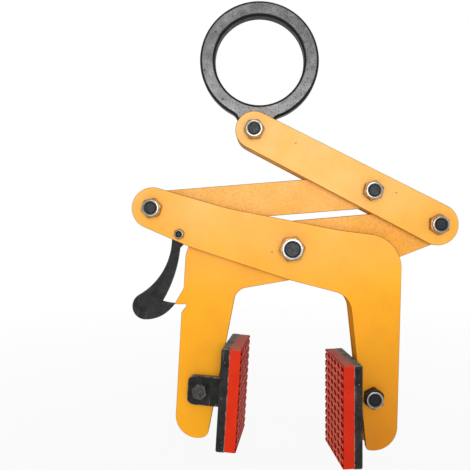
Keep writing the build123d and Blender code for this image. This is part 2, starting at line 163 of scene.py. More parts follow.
def srgb(red, green, blue):
    """A colour as it is seen, 0 to 255, in Blender's linear values."""
    shares = (channel / 255 for channel in (red, green, blue))
    return tuple(s / 12.92 if s <= 0.04045 else ((s + 0.055) / 1.055) ** 2.4 for s in shares)


def colour(name, description, *seen):
    """A colour setting, its default given as it is seen."""
    return FloatVectorProperty(
        name=name,
        description=description,
        default=srgb(*seen),
        size=3,
        min=0.0,
        max=1.0,
        subtype="COLOR",
    )


def length(name, description, default):
    """A length setting, in metres."""
    return FloatProperty(
        name=name, description=description, default=default, min=0.0, precision=5, unit="LENGTH"
    )


class ClampPaint(bpy.types.PropertyGroup):
    """Amber paint on the plates, black paint on the shoes and the latch."""

    amber: colour("Amber", "Main colour of the plates", 255, 179, 26)
    amber_deep: colour("Deep amber", "Colour of the paint's fuller patches", 253, 170, 16)
    # Thin amber is a painted sheen: it makes the plates paler toward the top, where the light falls on
    # them
    amber_sheen: colour("Thin amber", "Colour where the paint is thin and dusty", 249, 202, 125)
    # Full amber is painted shade: it darkens the right leg toward its foot, where the light falls off
    amber_shade: colour("Full amber", "Colour of the thick coat low on the right leg", 204, 123, 12)
    amber_pore: colour("Pores", "Colour in the pores of the coarse paint", 196, 122, 50)
    amber_dirt: colour("Rubbed-in dirt", "Colour of dirt in the paint's blemishes", 120, 76, 34)
    peel: length("Orange peel", "Height of the sprayed paint's orange peel", 0.00022)
    peel_scale: FloatProperty(
        name="Peel scale", description="Waves of orange peel in a metre", default=460.0, min=1.0
    )
    black: colour("Black", "Main colour of the black paint", 20, 20, 21)
    black_worn: colour("Worn black", "Colour where the black paint is scuffed", 138, 134, 128)
    latch: colour("Latch black", "Colour of the latch's matt paint", 32, 33, 35)


class ClampMetal(bpy.types.PropertyGroup):
    """Steel of the ring, zinc and nylon of the fasteners."""

    ring_face: colour("Ring face", "Worn steel on the ring's flat faces", 194, 194, 195)
    # Ring patches also carry painted shade: the flat faces darken toward the top
    ring_dull_and_shade: colour("Ring patches", "Darker patches on the ring's flat faces", 128, 128, 129)
    ring_edge: colour("Ring edge", "Black left on the ring's rounded edges", 12, 12, 13)
    zinc: colour("Zinc", "Plating of the nuts' rims", 164, 160, 155)
    zinc_dull: colour("Dull zinc", "Stained patches of the rims", 118, 111, 103)
    zinc_side: colour("Zinc sides", "Yellowish plating of the nuts' sides", 190, 146, 88)
    zinc_stain: colour("Zinc stains", "Stained patches of the nuts' sides", 104, 72, 42)
    bolt: colour("Bolt steel", "Steel of the bolts", 55, 55, 54)
    nylon: colour("Nylon", "Locking rings of the nuts", 36, 39, 44)
    blackened: colour("Blackened steel", "Bolt and nut of the right pad", 44, 42, 41)


class ClampRubber(bpy.types.PropertyGroup):
    """Red rubber of the pads' facings."""

    red: colour("Red", "Main colour of the rubber", 218, 48, 14)
    red_deep: colour("Deep red", "Fuller patches of the rubber", 178, 28, 12)
    # The pocket colour is painted shade: the tread's pockets darken with depth
    pocket_shade: colour("Pockets", "Rubber in the tread's pockets", 132, 14, 17)
    rubbed: colour("Rubbed red", "Rubber on the tread's ribs", 244, 128, 98)
    dust: colour("Stone dust", "Dust on the upper edges", 158, 116, 104)


class ClampShapes(bpy.types.PropertyGroup):
    """Small forms of the nuts, the facings and the welds."""

    hex_bevel: length("Hexagon bevel", "Height of the bevel on a nut's corners", 0.0010)
    rim_roll: length("Rim roll", "Rounding of a nut's collar", 0.0005)
    rim_share: FloatProperty(
        name="Rim share",
        description="Width of the rim over the nylon, as a share of the collar's width",
        default=0.085,
        min=0.05,
        max=0.2,
        subtype="FACTOR",
    )
    rim_height: length("Rim height", "Thickness of the rim over the nylon", 0.0008)
    insert_seat: length("Nylon seat", "Depth of the nylon's seat in the hexagon", 0.0010)
    collar_wall: length("Collar wall", "Thickness of the collar round the nylon", 0.0010)
    turned_sides: IntProperty(
        name="Turned sides", description="Sides of the turned forms", default=72, min=12, max=256
    )
    facing_edge: length("Facing edge", "Rounding of the facings' edges", 0.0015)
    tread_column: length("Tread column", "Width of one diamond of the tread", 0.0135)
    tread_row: length("Tread row", "Height of one diamond of the tread", 0.0080)
    tread_rib: length("Tread rib", "Width of the ribs where the pockets' corners meet", 0.0002)
    tread_depth: length("Tread depth", "Depth of the tread's pockets", 0.0022)
    tread_slope: FloatProperty(
        name="Tread slope",
        description="Slope of the pockets' walls",
        default=math.radians(30),
        min=0.0,
        max=math.radians(48),
        subtype="ANGLE",
    )
    bead: length("Weld bead", "Radius of the weld beads", 0.0024)
    ripple: length("Weld ripple", "Length of one ripple of a weld bead", 0.0014)


class ClampStage(bpy.types.PropertyGroup):
    """Camera, floor and light."""

    camera_distance: length("Camera distance", "From the clamp's middle plane", 0.600)
    camera_height: FloatProperty(
        name="Camera height", description="From the ring's centre", default=-0.1669, unit="LENGTH"
    )
    camera_side: FloatProperty(
        name="Camera side", description="From the ring's centre", default=0.0016, unit="LENGTH"
    )
    lens: FloatProperty(
        name="Lens", description="Focal length", default=42.66, min=1.0, unit="CAMERA"
    )
    shift: FloatVectorProperty(
        name="Shift", description="Shift of the view", default=(-0.0553, -0.0383), size=2
    )
    floor_drop: length("Floor drop", "Floor below the clamp", 0.050)
    floor_size: length("Floor size", "Side of the floor", 12.0)
    floor_tone: FloatProperty(
        name="Floor tone", description="Grey of the floor in the light", default=0.86, min=0.0, max=1.0
    )
    floor_white: FloatProperty(
        name="Floor white",
        description="Share of plain white in the floor below the clamp",
        default=0.88,
        min=0.0,
        max=1.0,
        subtype="FACTOR",
    )
    shadow_near: length("Shadow near", "Distance at which the floor starts to turn white", 0.25)
    shadow_far: length("Shadow far", "Distance at which the floor is all white", 1.4)
    sky: FloatProperty(
        name="Sky", description="Strength of the even light", default=0.62, min=0.0
    )
    key: FloatProperty(
        name="Key lamp", description="Power of the large lamp", default=5.4, min=0.0, unit="POWER"
    )
    key_place: FloatVectorProperty(
        name="Key place", description="Place of the large lamp", default=(0.06, -1.10, -0.06), size=3,
        subtype="XYZ", unit="LENGTH",
    )
    key_aim: FloatVectorProperty(
        name="Key aim", description="Point that the large lamp looks at", default=(0.0, 0.0, -0.15),
        size=3, subtype="XYZ", unit="LENGTH",
    )
    key_size: length("Key size", "Diameter of the large lamp", 0.60)


class Graph:
    """A node tree, with short calls to add nodes and feed their sockets."""

    def __init__(self, tree):
        self.tree = tree
        tree.nodes.clear()

    def feed(self, socket, value):
        if isinstance(value, bpy.types.NodeSocket):
            self.tree.links.new(value, socket)
        elif socket.type == "RGBA" and len(value) == 3:
            socket.default_value = (*value, 1.0)
        else:
            socket.default_value = value

    def add(self, kind, feeds=None, **settings):
        node = self.tree.nodes.new("ShaderNode" + kind)
        node.location = (200 * len(self.tree.nodes), 0)
        for name, value in settings.items():
            setattr(node, name, value)
        for name, value in (feeds or {}).items():
            self.feed(node.inputs[name], value)
        return node

    def calc(self, operation, *values, clamp=False):
        """One Math node."""
        node = self.add("Math", dict(enumerate(values)), operation=operation, use_clamp=clamp)
        return node.outputs[0]

    def span(self, value, start, stop, low=0.0, high=1.0):
        """A value carried from one range to another, clamped."""
        feeds = {"Value": value, "From Min": start, "From Max": stop, "To Min": low, "To Max": high}
        return self.add("MapRange", feeds).outputs[0]

    def noise(self, place, scale, detail=3.0, roughness=0.55):
        feeds = {"Vector": place, "Scale": scale, "Detail": detail, "Roughness": roughness}
        return self.add("TexNoise", feeds).outputs["Fac"]

    def place(self):
        return self.add("TexCoord").outputs["Object"]

    def along(self, axis):
        """How far along an axis of the object the surface lies."""
        return self.add("SeparateXYZ", {0: self.place()}).outputs[axis]

    def facing(self, axis):
        """How far the surface faces along an axis of the object."""
        normal = self.add("TexCoord").outputs["Normal"]
        return self.add("SeparateXYZ", {0: normal}).outputs[axis]

    def blend(self, under, over, mask):
        """One colour laid over another by a mask."""
        node = self.add("Mix", data_type="RGBA")
        self.feed(node.inputs[0], mask)
        self.feed(node.inputs[6], under)
        self.feed(node.inputs[7], over)
        return node.outputs[2]


class Finish(Graph):
    """A material whose Principled shader takes its varying sockets from node groups."""

    def __init__(self, name, specular=0.5, metallic=0.0):
        self.material = bpy.data.materials.new(name)
        self.material.use_nodes = True
        super().__init__(self.material.node_tree)
        constants = {"Specular IOR Level": specular, "Metallic": metallic}
        self.shader = self.add("BsdfPrincipled", constants)
        self.add("OutputMaterial", {"Surface": self.shader.outputs[0]})

    def effect(self, name, **feeds):
        """One node group; its inputs are given in small letters."""
        node = self.add("Group", node_tree=bpy.data.node_groups[name])
        for label, value in feeds.items():
            self.feed(node.inputs[label.replace("_", " ").capitalize()], value)
        return node.outputs[0]

    def surface(self, base, roughness, height, lift):
        """Feeds the shader; lift is the length that a height of one stands for."""
        bump = self.add("Bump", {"Height": height, "Distance": lift, "Strength": 1.0})
        feeds = {"Base Color": base, "Roughness": roughness, "Normal": bump.outputs[0]}
        for name, value in feeds.items():
            self.feed(self.shader.inputs[name], value)
        return self.material


def effect_group(name, output, inputs):
    """An empty node group with its sockets; gives its graph, inputs and result socket."""
    tree = bpy.data.node_groups.new(name, "ShaderNodeTree")
    graph = Graph(tree)
    for label, default in inputs.items():
        kind = "NodeSocketVector" if isinstance(default, tuple) else "NodeSocketFloat"
        socket = tree.interface.new_socket(name=label, in_out="INPUT", socket_type=kind)
        socket.default_value = default
    tree.interface.new_socket(name=output, in_out="OUTPUT", socket_type="NodeSocketFloat")
    given = tree.nodes.new("NodeGroupInput").outputs
    result = tree.nodes.new("NodeGroupOutput").inputs[0]
    return graph, given, result


def make_mottle():
    """Soft uneven patches."""
    graph, given, result = effect_group("Mottle", "Mask", {"Scale": 30.0, "Low": 0.0, "High": 1.0})
    noise = graph.noise(graph.place(), given["Scale"], detail=5.0, roughness=0.6)
    graph.feed(result, graph.span(noise, 0.32, 0.68, given["Low"], given["High"]))


def make_peel():
    """Fine waves of sprayed paint or moulded rubber."""
    graph, given, result = effect_group("Peel", "Height", {"Scale": 400.0, "Coarse": 0.7})
    place = graph.place()
    coarse = graph.noise(place, given["Scale"], detail=1.0)
    fine = graph.noise(place, graph.calc("MULTIPLY", given["Scale"], 2.9), detail=2.0)
    rest = graph.calc("SUBTRACT", 1.0, given["Coarse"])
    both = graph.calc(
        "ADD",
        graph.calc("MULTIPLY", coarse, given["Coarse"]),
        graph.calc("MULTIPLY", fine, rest),
    )
    graph.feed(result, both)


def make_edge_wear():
    """Edges where the finish is rubbed, broken up unevenly."""
    inputs = {"Radius": 0.0015, "Scale": 120.0, "Amount": 1.0}
    graph, given, result = effect_group("Edge Wear", "Mask", inputs)
    rounded = graph.add("Bevel", {"Radius": given["Radius"]}, samples=8).outputs[0]
    flat = graph.add("NewGeometry").outputs["Normal"]
    dot = graph.add("VectorMath", {0: rounded, 1: flat}, operation="DOT_PRODUCT").outputs["Value"]
    edge = graph.span(dot, 0.995, 0.90)
    broken = graph.span(graph.noise(graph.place(), given["Scale"], detail=4.0), 0.40, 0.62)
    worn = graph.calc("MULTIPLY", edge, broken)
    graph.feed(result, graph.calc("MULTIPLY", worn, given["Amount"], clamp=True))


def make_specks():
    """Scattered small chips or pits."""
    inputs = {"Scale": 200.0, "Size": 0.3, "Share": 0.2}
    graph, given, result = effect_group("Specks", "Mask", inputs)
    place = graph.place()
    ragged = graph.noise(place, graph.calc("MULTIPLY", given["Scale"], 2.5), detail=2.0)
    cells = graph.add("TexVoronoi", {"Vector": place, "Scale": given["Scale"]})
    draw = graph.add("SeparateColor", {0: cells.outputs["Color"]}).outputs
    reach = graph.calc("MULTIPLY", given["Size"], graph.span(draw[1], 0.0, 1.0, 0.35, 1.0))
    uneven = graph.calc("ADD", cells.outputs["Distance"], graph.span(ragged, 0.3, 0.7, -0.1, 0.1))
    inside = graph.calc("LESS_THAN", uneven, reach)
    chosen = graph.calc("LESS_THAN", draw[0], given["Share"])
    graph.feed(result, graph.calc("MULTIPLY", inside, chosen))


def make_scuffs():
    """Thin drawn-out rub marks."""
    inputs = {"Scale": 60.0, "Amount": 1.0, "Stretch": (1.0, 1.0, 0.08)}
    graph, given, result = effect_group("Scuffs", "Mask", inputs)
    drawn = graph.add("Mapping", {"Vector": graph.place(), "Scale": given["Stretch"]}).outputs[0]
    lines = graph.span(graph.noise(drawn, graph.calc("MULTIPLY", given["Scale"], 6.0)), 0.60, 0.72)
    patches = graph.span(graph.noise(graph.place(), given["Scale"], detail=4.0), 0.50, 0.66)
    rubbed = graph.calc("MULTIPLY", lines, patches)
    graph.feed(result, graph.calc("MULTIPLY", rubbed, given["Amount"], clamp=True))


def make_dust():
    """Dust that settles on faces that look up."""
    graph, given, result = effect_group("Dust", "Mask", {"Scale": 90.0, "Amount": 1.0})
    up = graph.span(graph.facing("Z"), 0.35, 0.95)
    cover = graph.span(graph.noise(graph.place(), given["Scale"], detail=6.0), 0.25, 0.60)
    settled = graph.calc("MULTIPLY", up, cover)
    graph.feed(result, graph.calc("MULTIPLY", settled, given["Amount"], clamp=True))


def make_blemish():
    """One ragged mark near a place."""
    inputs = {"Place": (0.0, 0.0, 0.0), "Reach": 0.004, "Ragged": 0.003}
    graph, given, result = effect_group("Blemish", "Mask", inputs)
    place = graph.place()
    feeds = {0: place, 1: given["Place"]}
    away = graph.add("VectorMath", feeds, operation="DISTANCE").outputs["Value"]
    jitter = graph.span(graph.noise(place, 380.0, detail=4.0), 0.25, 0.75, -1.0, 1.0)
    uneven = graph.calc("ADD", away, graph.calc("MULTIPLY", jitter, given["Ragged"]))
    half = graph.calc("MULTIPLY", given["Reach"], 0.5)
    graph.feed(result, graph.span(uneven, given["Reach"], half))


EFFECTS = (
    make_mottle,
    make_peel,
    make_edge_wear,
    make_specks,
    make_scuffs,
    make_dust,
    make_blemish,
)


def amber_finish(name, paint, coarse=None, blemishes=()):
    """Sprayed amber paint with a few marks, a painted sheen toward the top and painted shade low on
    the right leg; coarse is a mask where it is pored and rough.
    """
    finish = Finish(name, specular=0.2)
    # Painted sheen: the plates are made paler toward the top, where the light falls on them
    high = finish.span(finish.along("Z"), *SHEEN_HEIGHTS)
    patches = finish.effect("Mottle", scale=14.0, low=0.0, high=0.75)
    base = finish.blend(paint.amber_deep, paint.amber, patches)
    lit = finish.calc("MULTIPLY", high, finish.effect("Mottle", scale=22.0, low=0.45, high=1.0))
    base = finish.blend(base, paint.amber_sheen, lit)
    # Painted shade: the right leg is made darker toward its foot, where the light falls off
    low = finish.span(finish.along("Z"), *SHADE_HEIGHTS)
    right = finish.span(finish.along("X"), *SHADE_SIDE)
    base = finish.blend(base, paint.amber_shade, finish.calc("MULTIPLY", low, right))
    smudges = finish.effect("Mottle", scale=38.0, low=-0.06, high=0.08)
    base = finish.blend(base, paint.amber_dirt, smudges)
    front = finish.calc("ABSOLUTE", finish.facing("Y"))
    turned = finish.span(front, *RIM_WORN)
    # The plates' rims, and to a lesser degree their side faces, are made darker
    rim = finish.calc("MULTIPLY", turned, finish.span(front, *RIM_DARKER, 0.28, 1.0))
    rim_darkening = finish.calc("MULTIPLY", rim, finish.effect("Mottle", scale=60.0, low=0.7, high=1.0))
    base = finish.blend(base, paint.amber_dirt, rim_darkening)
    specks = finish.effect("Specks", scale=70.0, size=0.07, share=0.10)
    base = finish.blend(base, paint.amber_dirt, finish.calc("MULTIPLY", specks, 0.5))
    for spot, reach, strength in blemishes:
        mark = finish.effect("Blemish", place=spot, reach=reach, ragged=reach * 0.6)
        base = finish.blend(base, paint.amber_dirt, finish.calc("MULTIPLY", mark, strength))
    height = finish.effect("Peel", scale=paint.peel_scale, coarse=0.75)
    roughness = finish.effect("Mottle", scale=40.0, low=0.30, high=0.44)
    roughness = finish.calc("ADD", roughness, finish.calc("MULTIPLY", turned, 0.5), clamp=True)
    if coarse is None:
        return finish.surface(base, roughness, height, paint.peel * 0.15)
    rough = coarse(finish)
    pores = finish.calc("MULTIPLY", finish.span(height, 0.58, 0.38), rough)
    base = finish.blend(base, paint.amber_pore, finish.calc("MULTIPLY", pores, 0.32))
    height = finish.calc("MULTIPLY", height, finish.span(rough, 0.0, 1.0, 0.15, 1.0))
    return finish.surface(base, roughness, height, paint.peel)


def all_over(finish):
    """Coarse paint all over, a little uneven."""
    return finish.effect("Mottle", scale=25.0, low=0.65, high=1.0)


def on_right_arm(finish):
    """Coarse paint on the inner jaw's right arm, fading out towards the leg."""
    return finish.span(finish.along("X"), *COARSE_PAINT_SIDE)


def black_finish(name, black, worn, wear, matt=0.45, rub=0.10):
    """Black paint with scuffs, rubbed edges and dust; wear is how far it is used up."""
    finish = Finish(name, specular=0.14)
    patches = finish.effect("Mottle", scale=45.0 + 600.0 * rub, low=0.0, high=rub)
    base = finish.blend(black, worn, patches)
    edge = finish.effect("Edge Wear", radius=0.0020, scale=230.0, amount=1.3 * wear)
    base = finish.blend(base, worn, edge)
    scuffs = finish.effect("Scuffs", scale=38.0, amount=wear)
    base = finish.blend(base, worn, scuffs)
    chips = finish.effect("Specks", scale=260.0, size=0.24, share=0.12)
    base = finish.blend(base, worn, finish.calc("MULTIPLY", chips, 0.6 * wear))
    dust = finish.effect("Dust", scale=120.0, amount=0.75 * wear)
    base = finish.blend(base, worn, dust)
    height = finish.effect("Peel", scale=520.0, coarse=0.6)
    roughness = finish.effect("Mottle", scale=70.0, low=matt, high=matt + 0.2)
    roughness = finish.calc("ADD", roughness, finish.calc("MULTIPLY", dust, 0.25), clamp=True)
    return finish.surface(base, roughness, height, 0.00008)


def ring_finish(metal):
    """Black steel, worn grey and pitted on the flat faces; painted shade darkens the faces toward the
    top.
    """
    finish = Finish("RingSteel", specular=0.2)
    flat = finish.span(finish.calc("ABSOLUTE", finish.facing("Y")), *RING_FLAT)
    broken = finish.effect("Mottle", scale=150.0, low=0.75, high=1.0)
    worn = finish.calc("MULTIPLY", flat, broken)
    side = finish.span(finish.along("X"), *RING_SIDE)
    patches = finish.effect("Mottle", scale=85.0, low=-0.1, high=0.4)
    # Painted shade: besides the random dull patches, the flat faces are made darker toward the top
    patches_and_shade = finish.calc("ADD", patches, finish.span(finish.along("Z"), *RING_SHADE_HEIGHTS, 0.0, 0.65))
    dull_and_shade = finish.calc("ADD", patches_and_shade, finish.span(side, 0.0, 1.0, 0.0, 0.1), clamp=True)
    face = finish.blend(metal.ring_face, metal.ring_dull_and_shade, dull_and_shade)
    grain = finish.effect("Mottle", scale=620.0, low=-0.1, high=0.5)
    face = finish.blend(face, metal.ring_edge, grain)
    base = finish.blend(metal.ring_edge, face, worn)
    pitted = finish.span(side, 0.0, 1.0, 0.12, 0.8)
    pits = finish.effect("Specks", scale=420.0, size=0.34, share=pitted)
    base = finish.blend(base, metal.ring_edge, finish.calc("MULTIPLY", pits, 0.7))
    chips = finish.effect("Specks", scale=150.0, size=0.22, share=0.16)
    base = finish.blend(base, metal.ring_edge, finish.calc("MULTIPLY", chips, 0.6))
    height = finish.effect("Peel", scale=300.0, coarse=0.6)
    roughness = finish.effect("Mottle", scale=110.0, low=0.40, high=0.60)
    return finish.surface(base, roughness, height, 0.00012)


def steel_finish(name, bright, dull, roughness, scale):
    """Plated or bare steel, a little stained."""
    finish = Finish(name, metallic=1.0)
    stains = finish.effect("Mottle", scale=scale, low=0.0, high=0.8)
    base = finish.blend(bright, dull, stains)
    height = finish.effect("Peel", scale=900.0, coarse=0.4)
    rough = finish.effect("Mottle", scale=scale * 2, low=roughness, high=roughness + 0.16)
    return finish.surface(base, rough, height, 0.00002)


def nylon_finish(metal):
    """Dark nylon, a little uneven."""
    finish = Finish("DarkNylon", specular=0.5)
    tone = finish.effect("Mottle", scale=220.0, low=0.0, high=0.5)
    base = finish.blend(metal.nylon, metal.bolt, tone)
    height = finish.effect("Peel", scale=700.0, coarse=0.5)
    roughness = finish.effect("Mottle", scale=160.0, low=0.36, high=0.5)
    return finish.surface(base, roughness, height, 0.00003)


def pad_turn(pad):
    """How a pad is leaned and turned about its pivot at rest."""
    lean = Matrix.Rotation(math.radians(pad.lean), 3, "Y")
    return lean @ Matrix.Rotation(math.radians(pad.yaw), 3, "Z")


def rubber_finish(side, rubber):
    """Red rubber, rubbed paler on the tread's ribs and dusty on top, with painted shade darkening the
    tread's pockets.
    """
    pad = PADS[side]
    out = pad_turn(pad) @ Vector((pad.look, 0, 0))
    finish = Finish(side.capitalize() + "Rubber", specular=0.12)
    patches = finish.effect("Mottle", scale=60.0, low=pad.deep - 0.1, high=pad.deep + 0.2)
    base = finish.blend(rubber.red, rubber.red_deep, patches)
    from_pivot = finish.add("VectorMath", {0: finish.place(), 1: pad.pivot}, operation="SUBTRACT")
    feeds = {0: from_pivot.outputs[0], 1: out}
    along = finish.add("VectorMath", feeds, operation="DOT_PRODUCT").outputs["Value"]
    depth = finish.calc("SUBTRACT", pad.reach, along)
    feeds = {0: finish.add("TexCoord").outputs["Normal"], 1: out}
    toward = finish.add("VectorMath", feeds, operation="DOT_PRODUCT").outputs["Value"]
    tread = finish.span(toward, *TREAD_FACE)
    # Painted shade: the tread's pockets are made darker with depth, and the ribs get a share of it
    deep = finish.calc("MULTIPLY", tread, finish.span(depth, *POCKET_SHADE_DEPTH, pad.grime, 1.0))
    base = finish.blend(base, rubber.pocket_shade, deep)
    land = finish.calc("MULTIPLY", tread, finish.span(depth, *RIB_DEPTH))
    edge = finish.effect("Edge Wear", radius=0.0010, scale=150.0, amount=1.2)
    worn = finish.effect("Mottle", scale=260.0, low=0.0, high=pad.pale)
    rubbed = finish.calc("MULTIPLY", land, finish.calc("ADD", worn, edge, clamp=True))
    base = finish.blend(base, rubber.rubbed, rubbed)
    plain = finish.calc("SUBTRACT", 1.0, tread)
    frayed = finish.calc("MULTIPLY", finish.calc("MULTIPLY", edge, plain), 0.4)
    base = finish.blend(base, rubber.rubbed, frayed)
    dust = finish.effect("Dust", scale=110.0, amount=0.9)
    base = finish.blend(base, rubber.dust, finish.calc("MULTIPLY", dust, plain))
    height = finish.effect("Peel", scale=600.0, coarse=0.5)
    roughness = finish.effect("Mottle", scale=90.0, low=0.50, high=0.68)
    roughness = finish.calc("ADD", roughness, finish.calc("MULTIPLY", dust, 0.25), clamp=True)
    return finish.surface(base, roughness, height, 0.00008)


def dress(node, material):
    """Gives a CAD node its finish."""
    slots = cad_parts[node].data.materials
    slots.clear()
    slots.append(material)


def deselect():
    """Leaves edit mode and selects nothing."""
    if bpy.context.object is not None and bpy.context.object.mode != "OBJECT":
        bpy.ops.object.mode_set(mode="OBJECT")
    bpy.ops.object.select_all(action="DESELECT")


def make_active(piece):
    """Selects one piece alone."""
    deselect()
    piece.select_set(True)
    bpy.context.view_layer.objects.active = piece


def put_in_order(mesh):
    """Sorts a mesh's parts by place, because extruding leaves them in no fixed order."""
    places = sorted(mesh.verts, key=lambda vertex: tuple(vertex.co))
    rank = {vertex: number for number, vertex in enumerate(places)}
    mesh.verts.sort(key=rank.get)
    for parts in (mesh.edges, mesh.faces):
        corners = sorted(parts, key=lambda part: sorted(rank[vertex] for vertex in part.verts))
        order = {part: number for number, part in enumerate(corners)}
        parts.sort(key=order.get)


@contextmanager
def editing(piece):
    """Edit mode on one piece, whose parts are in a fixed order afterwards."""
    make_active(piece)
    bpy.ops.object.mode_set(mode="EDIT")
    yield
    put_in_order(bmesh.from_edit_mesh(piece.data))
    bmesh.update_edit_mesh(piece.data)
    bpy.ops.object.mode_set(mode="OBJECT")


def choose(piece, kind, wanted):
    """In edit mode, selects the faces or edges that a test accepts."""
    bpy.ops.mesh.select_mode(type=kind)
    bpy.ops.mesh.select_all(action="DESELECT")
    mesh = bmesh.from_edit_mesh(piece.data)
    found = [part for part in (mesh.faces if kind == "FACE" else mesh.edges) if wanted(part)]
    if not found:
        raise RuntimeError("Nothing to select on " + piece.name)
    for part in found:
        part.select_set(True)
    bmesh.update_edit_mesh(piece.data)


def facing_up(face):
    return face.normal.z > END_FACE


def facing_down(face):
    return face.normal.z < -END_FACE


def turned_bar(name, sides, radius, low, high):
    """A round or six-sided bar along Z."""
    deselect()
    bpy.ops.mesh.primitive_cylinder_add(
        vertices=sides, radius=radius, depth=high - low, location=(0, 0, (low + high) / 2)
    )
    bar = bpy.context.object
    bar.name = name
    bpy.ops.object.transform_apply(location=True, rotation=True, scale=True)
    return bar


def raise_step(rise, share):
    """Carries the selected end face on by one step and scales it about the axis."""
    bpy.ops.mesh.extrude_region_move(TRANSFORM_OT_translate={"value": (0, 0, rise)})
    bpy.ops.transform.resize(value=(share, share, 1), center_override=(0, 0, 0))


def combine(piece, other, operation):
    """Applies a Boolean with another object, which is then removed."""
    make_active(piece)
    boolean = piece.modifiers.new(operation, "BOOLEAN")
    boolean.operation = operation
    boolean.solver = "EXACT"
    boolean.object = other
    bpy.ops.object.modifier_apply(modifier=boolean.name)
    bpy.data.objects.remove(other)


def model_nut(size, shapes):
    """A self-locking nut, its seat at the origin and its collar up."""
    shank, key, hexagon, collar, collar_width = (value * MM for value in NUT_SIZES[size])
    corner = key / math.sqrt(3)
    top = hexagon + collar
    sides = shapes.turned_sides
    share = (corner - BEVEL_WIDTH * shapes.hex_bevel) / corner

    blank = turned_bar("nut_blank", sides, corner, shapes.hex_bevel, hexagon - shapes.hex_bevel)
    with editing(blank):
        for side, test in ((1, facing_up), (-1, facing_down)):
            choose(blank, "FACE", test)
            raise_step(side * shapes.hex_bevel, share)
    nut = turned_bar("nut_" + size, 6, corner, 0.0, hexagon)
    combine(nut, blank, "INTERSECT")

    crown = turned_bar("nut_crown", sides, collar_width / 2, hexagon - shapes.hex_bevel, top)
    with editing(crown):
        choose(crown, "EDGE", lambda edge: all(v.co.z > top - SAME_PLACE for v in edge.verts))
        bpy.ops.mesh.bevel(offset=shapes.rim_roll, segments=ROUND_STEPS, affect="EDGES")
    combine(nut, crown, "UNION")

    seat = hexagon - shapes.insert_seat
    under_rim = collar_width / 2 - shapes.collar_wall
    opening = collar_width * (0.5 - shapes.rim_share)
    bore = turned_bar("nut_bore", sides, shank / 2, -hexagon, seat)
    with editing(bore):
        choose(bore, "FACE", facing_up)
        raise_step(0.0, under_rim / (shank / 2))
        raise_step(top - shapes.rim_height - seat, 1.0)
        raise_step(0.0, opening / under_rim)
        raise_step(2 * shapes.rim_height, 1.0)
    combine(nut, bore, "DIFFERENCE")

    nut.data.materials.clear()
    for finish in ("ZincSides", "BrightZinc"):
        nut.data.materials.append(bpy.data.materials[finish])
    rolled = top - shapes.rim_roll * BELOW_ROLL
    with editing(nut):
        bpy.ops.mesh.select_all(action="SELECT")
        bpy.ops.mesh.remove_doubles(threshold=SAME_PLACE)
        choose(nut, "FACE", lambda face: face.calc_center_median().z > rolled)
        nut.active_material_index = 1
        bpy.ops.object.material_slot_assign()
    return nut


def set_in_place(piece, name, matrix):
    """Names a piece and puts its place into its mesh."""
    piece.name = name
    piece.data.name = name
    piece.matrix_world = matrix
    make_active(piece)
    bpy.ops.object.transform_apply(location=True, rotation=True, scale=True)
    bpy.ops.object.shade_smooth_by_angle(angle=SMOOTH_ANGLE)


def copy_of(model):
    """A copy with its own mesh."""
    make_active(model)
    bpy.ops.object.duplicate(linked=False)
    return bpy.context.object


def model_bead(shapes, run):
    """A rippled weld bead along Z, centred on the origin."""
    steps = int(run / shapes.ripple)
    deselect()
    bpy.ops.mesh.primitive_circle_add(
        vertices=BEAD_SIDES,
        radius=shapes.bead * BEAD_START,
        fill_type="NGON",
        location=(0, 0, -run / 2),
    )
    bead = bpy.context.object
    bpy.ops.object.transform_apply(location=True, rotation=True, scale=True)
    with editing(bead):
        bpy.ops.mesh.select_all(action="SELECT")
        raise_step(shapes.ripple / 2, 1 / BEAD_START)
        for _ in range(steps):
            raise_step(shapes.ripple / 2, BEAD_WAIST)
            raise_step(shapes.ripple / 2, 1 / BEAD_WAIST)
        raise_step(shapes.ripple / 2, BEAD_STOP)
        bpy.ops.mesh.select_all(action="SELECT")
        bpy.ops.mesh.normals_make_consistent(inside=False)
    return bead


def facing_box(side):
    """Lowest and highest corner of a pad's facing, in the pad's own frame."""
    pad = PADS[side]
    back = pad_turn(pad).transposed()
    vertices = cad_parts[side + "_pad_facing"].data.vertices
    places = [back @ (vertex.co - pad.pivot) for vertex in vertices]
    low = Vector([min(place[axis] for place in places) for axis in range(3)])
    high = Vector([max(place[axis] for place in places) for axis in range(3)])
    return low, high


def tread_pockets(shapes, width, height, face):
    """Rows of diamond pockets, as one cutter that reaches below a face."""
    column, row, deep = shapes.tread_column, shapes.tread_row, shapes.tread_depth
    columns, rows = int(width / column) + 1, round(height / row)
    to_side = column * row / 2 / math.hypot(column, row)
    above = shapes.tread_rib / 2
    slope = math.tan(shapes.tread_slope)
    mouth = 1 - (shapes.tread_rib / 2 - above * slope) / to_side
    floor = 1 - (shapes.tread_rib / 2 + deep * slope) / to_side
    deselect()
    bpy.ops.mesh.primitive_cone_add(
        vertices=4,
        radius1=floor,
        radius2=mouth,
        depth=deep + above,
        location=(
            -column * (columns - 1) / 2,
            -row * (rows - 1) / 2,
            face + (above - deep) / 2,
        ),
    )
    cutter = bpy.context.object
    cutter.scale = (column / 2, row / 2, 1)
    bpy.ops.object.transform_apply(location=True, rotation=True, scale=True)
    for step, count in (((column, 0, 0), columns), ((0, row, 0), rows)):
        array = cutter.modifiers.new("repeat", "ARRAY")
        array.use_relative_offset = False
        array.use_constant_offset = True
        array.constant_offset_displace = step
        array.count = count
        bpy.ops.object.modifier_apply(modifier=array.name)
    return cutter


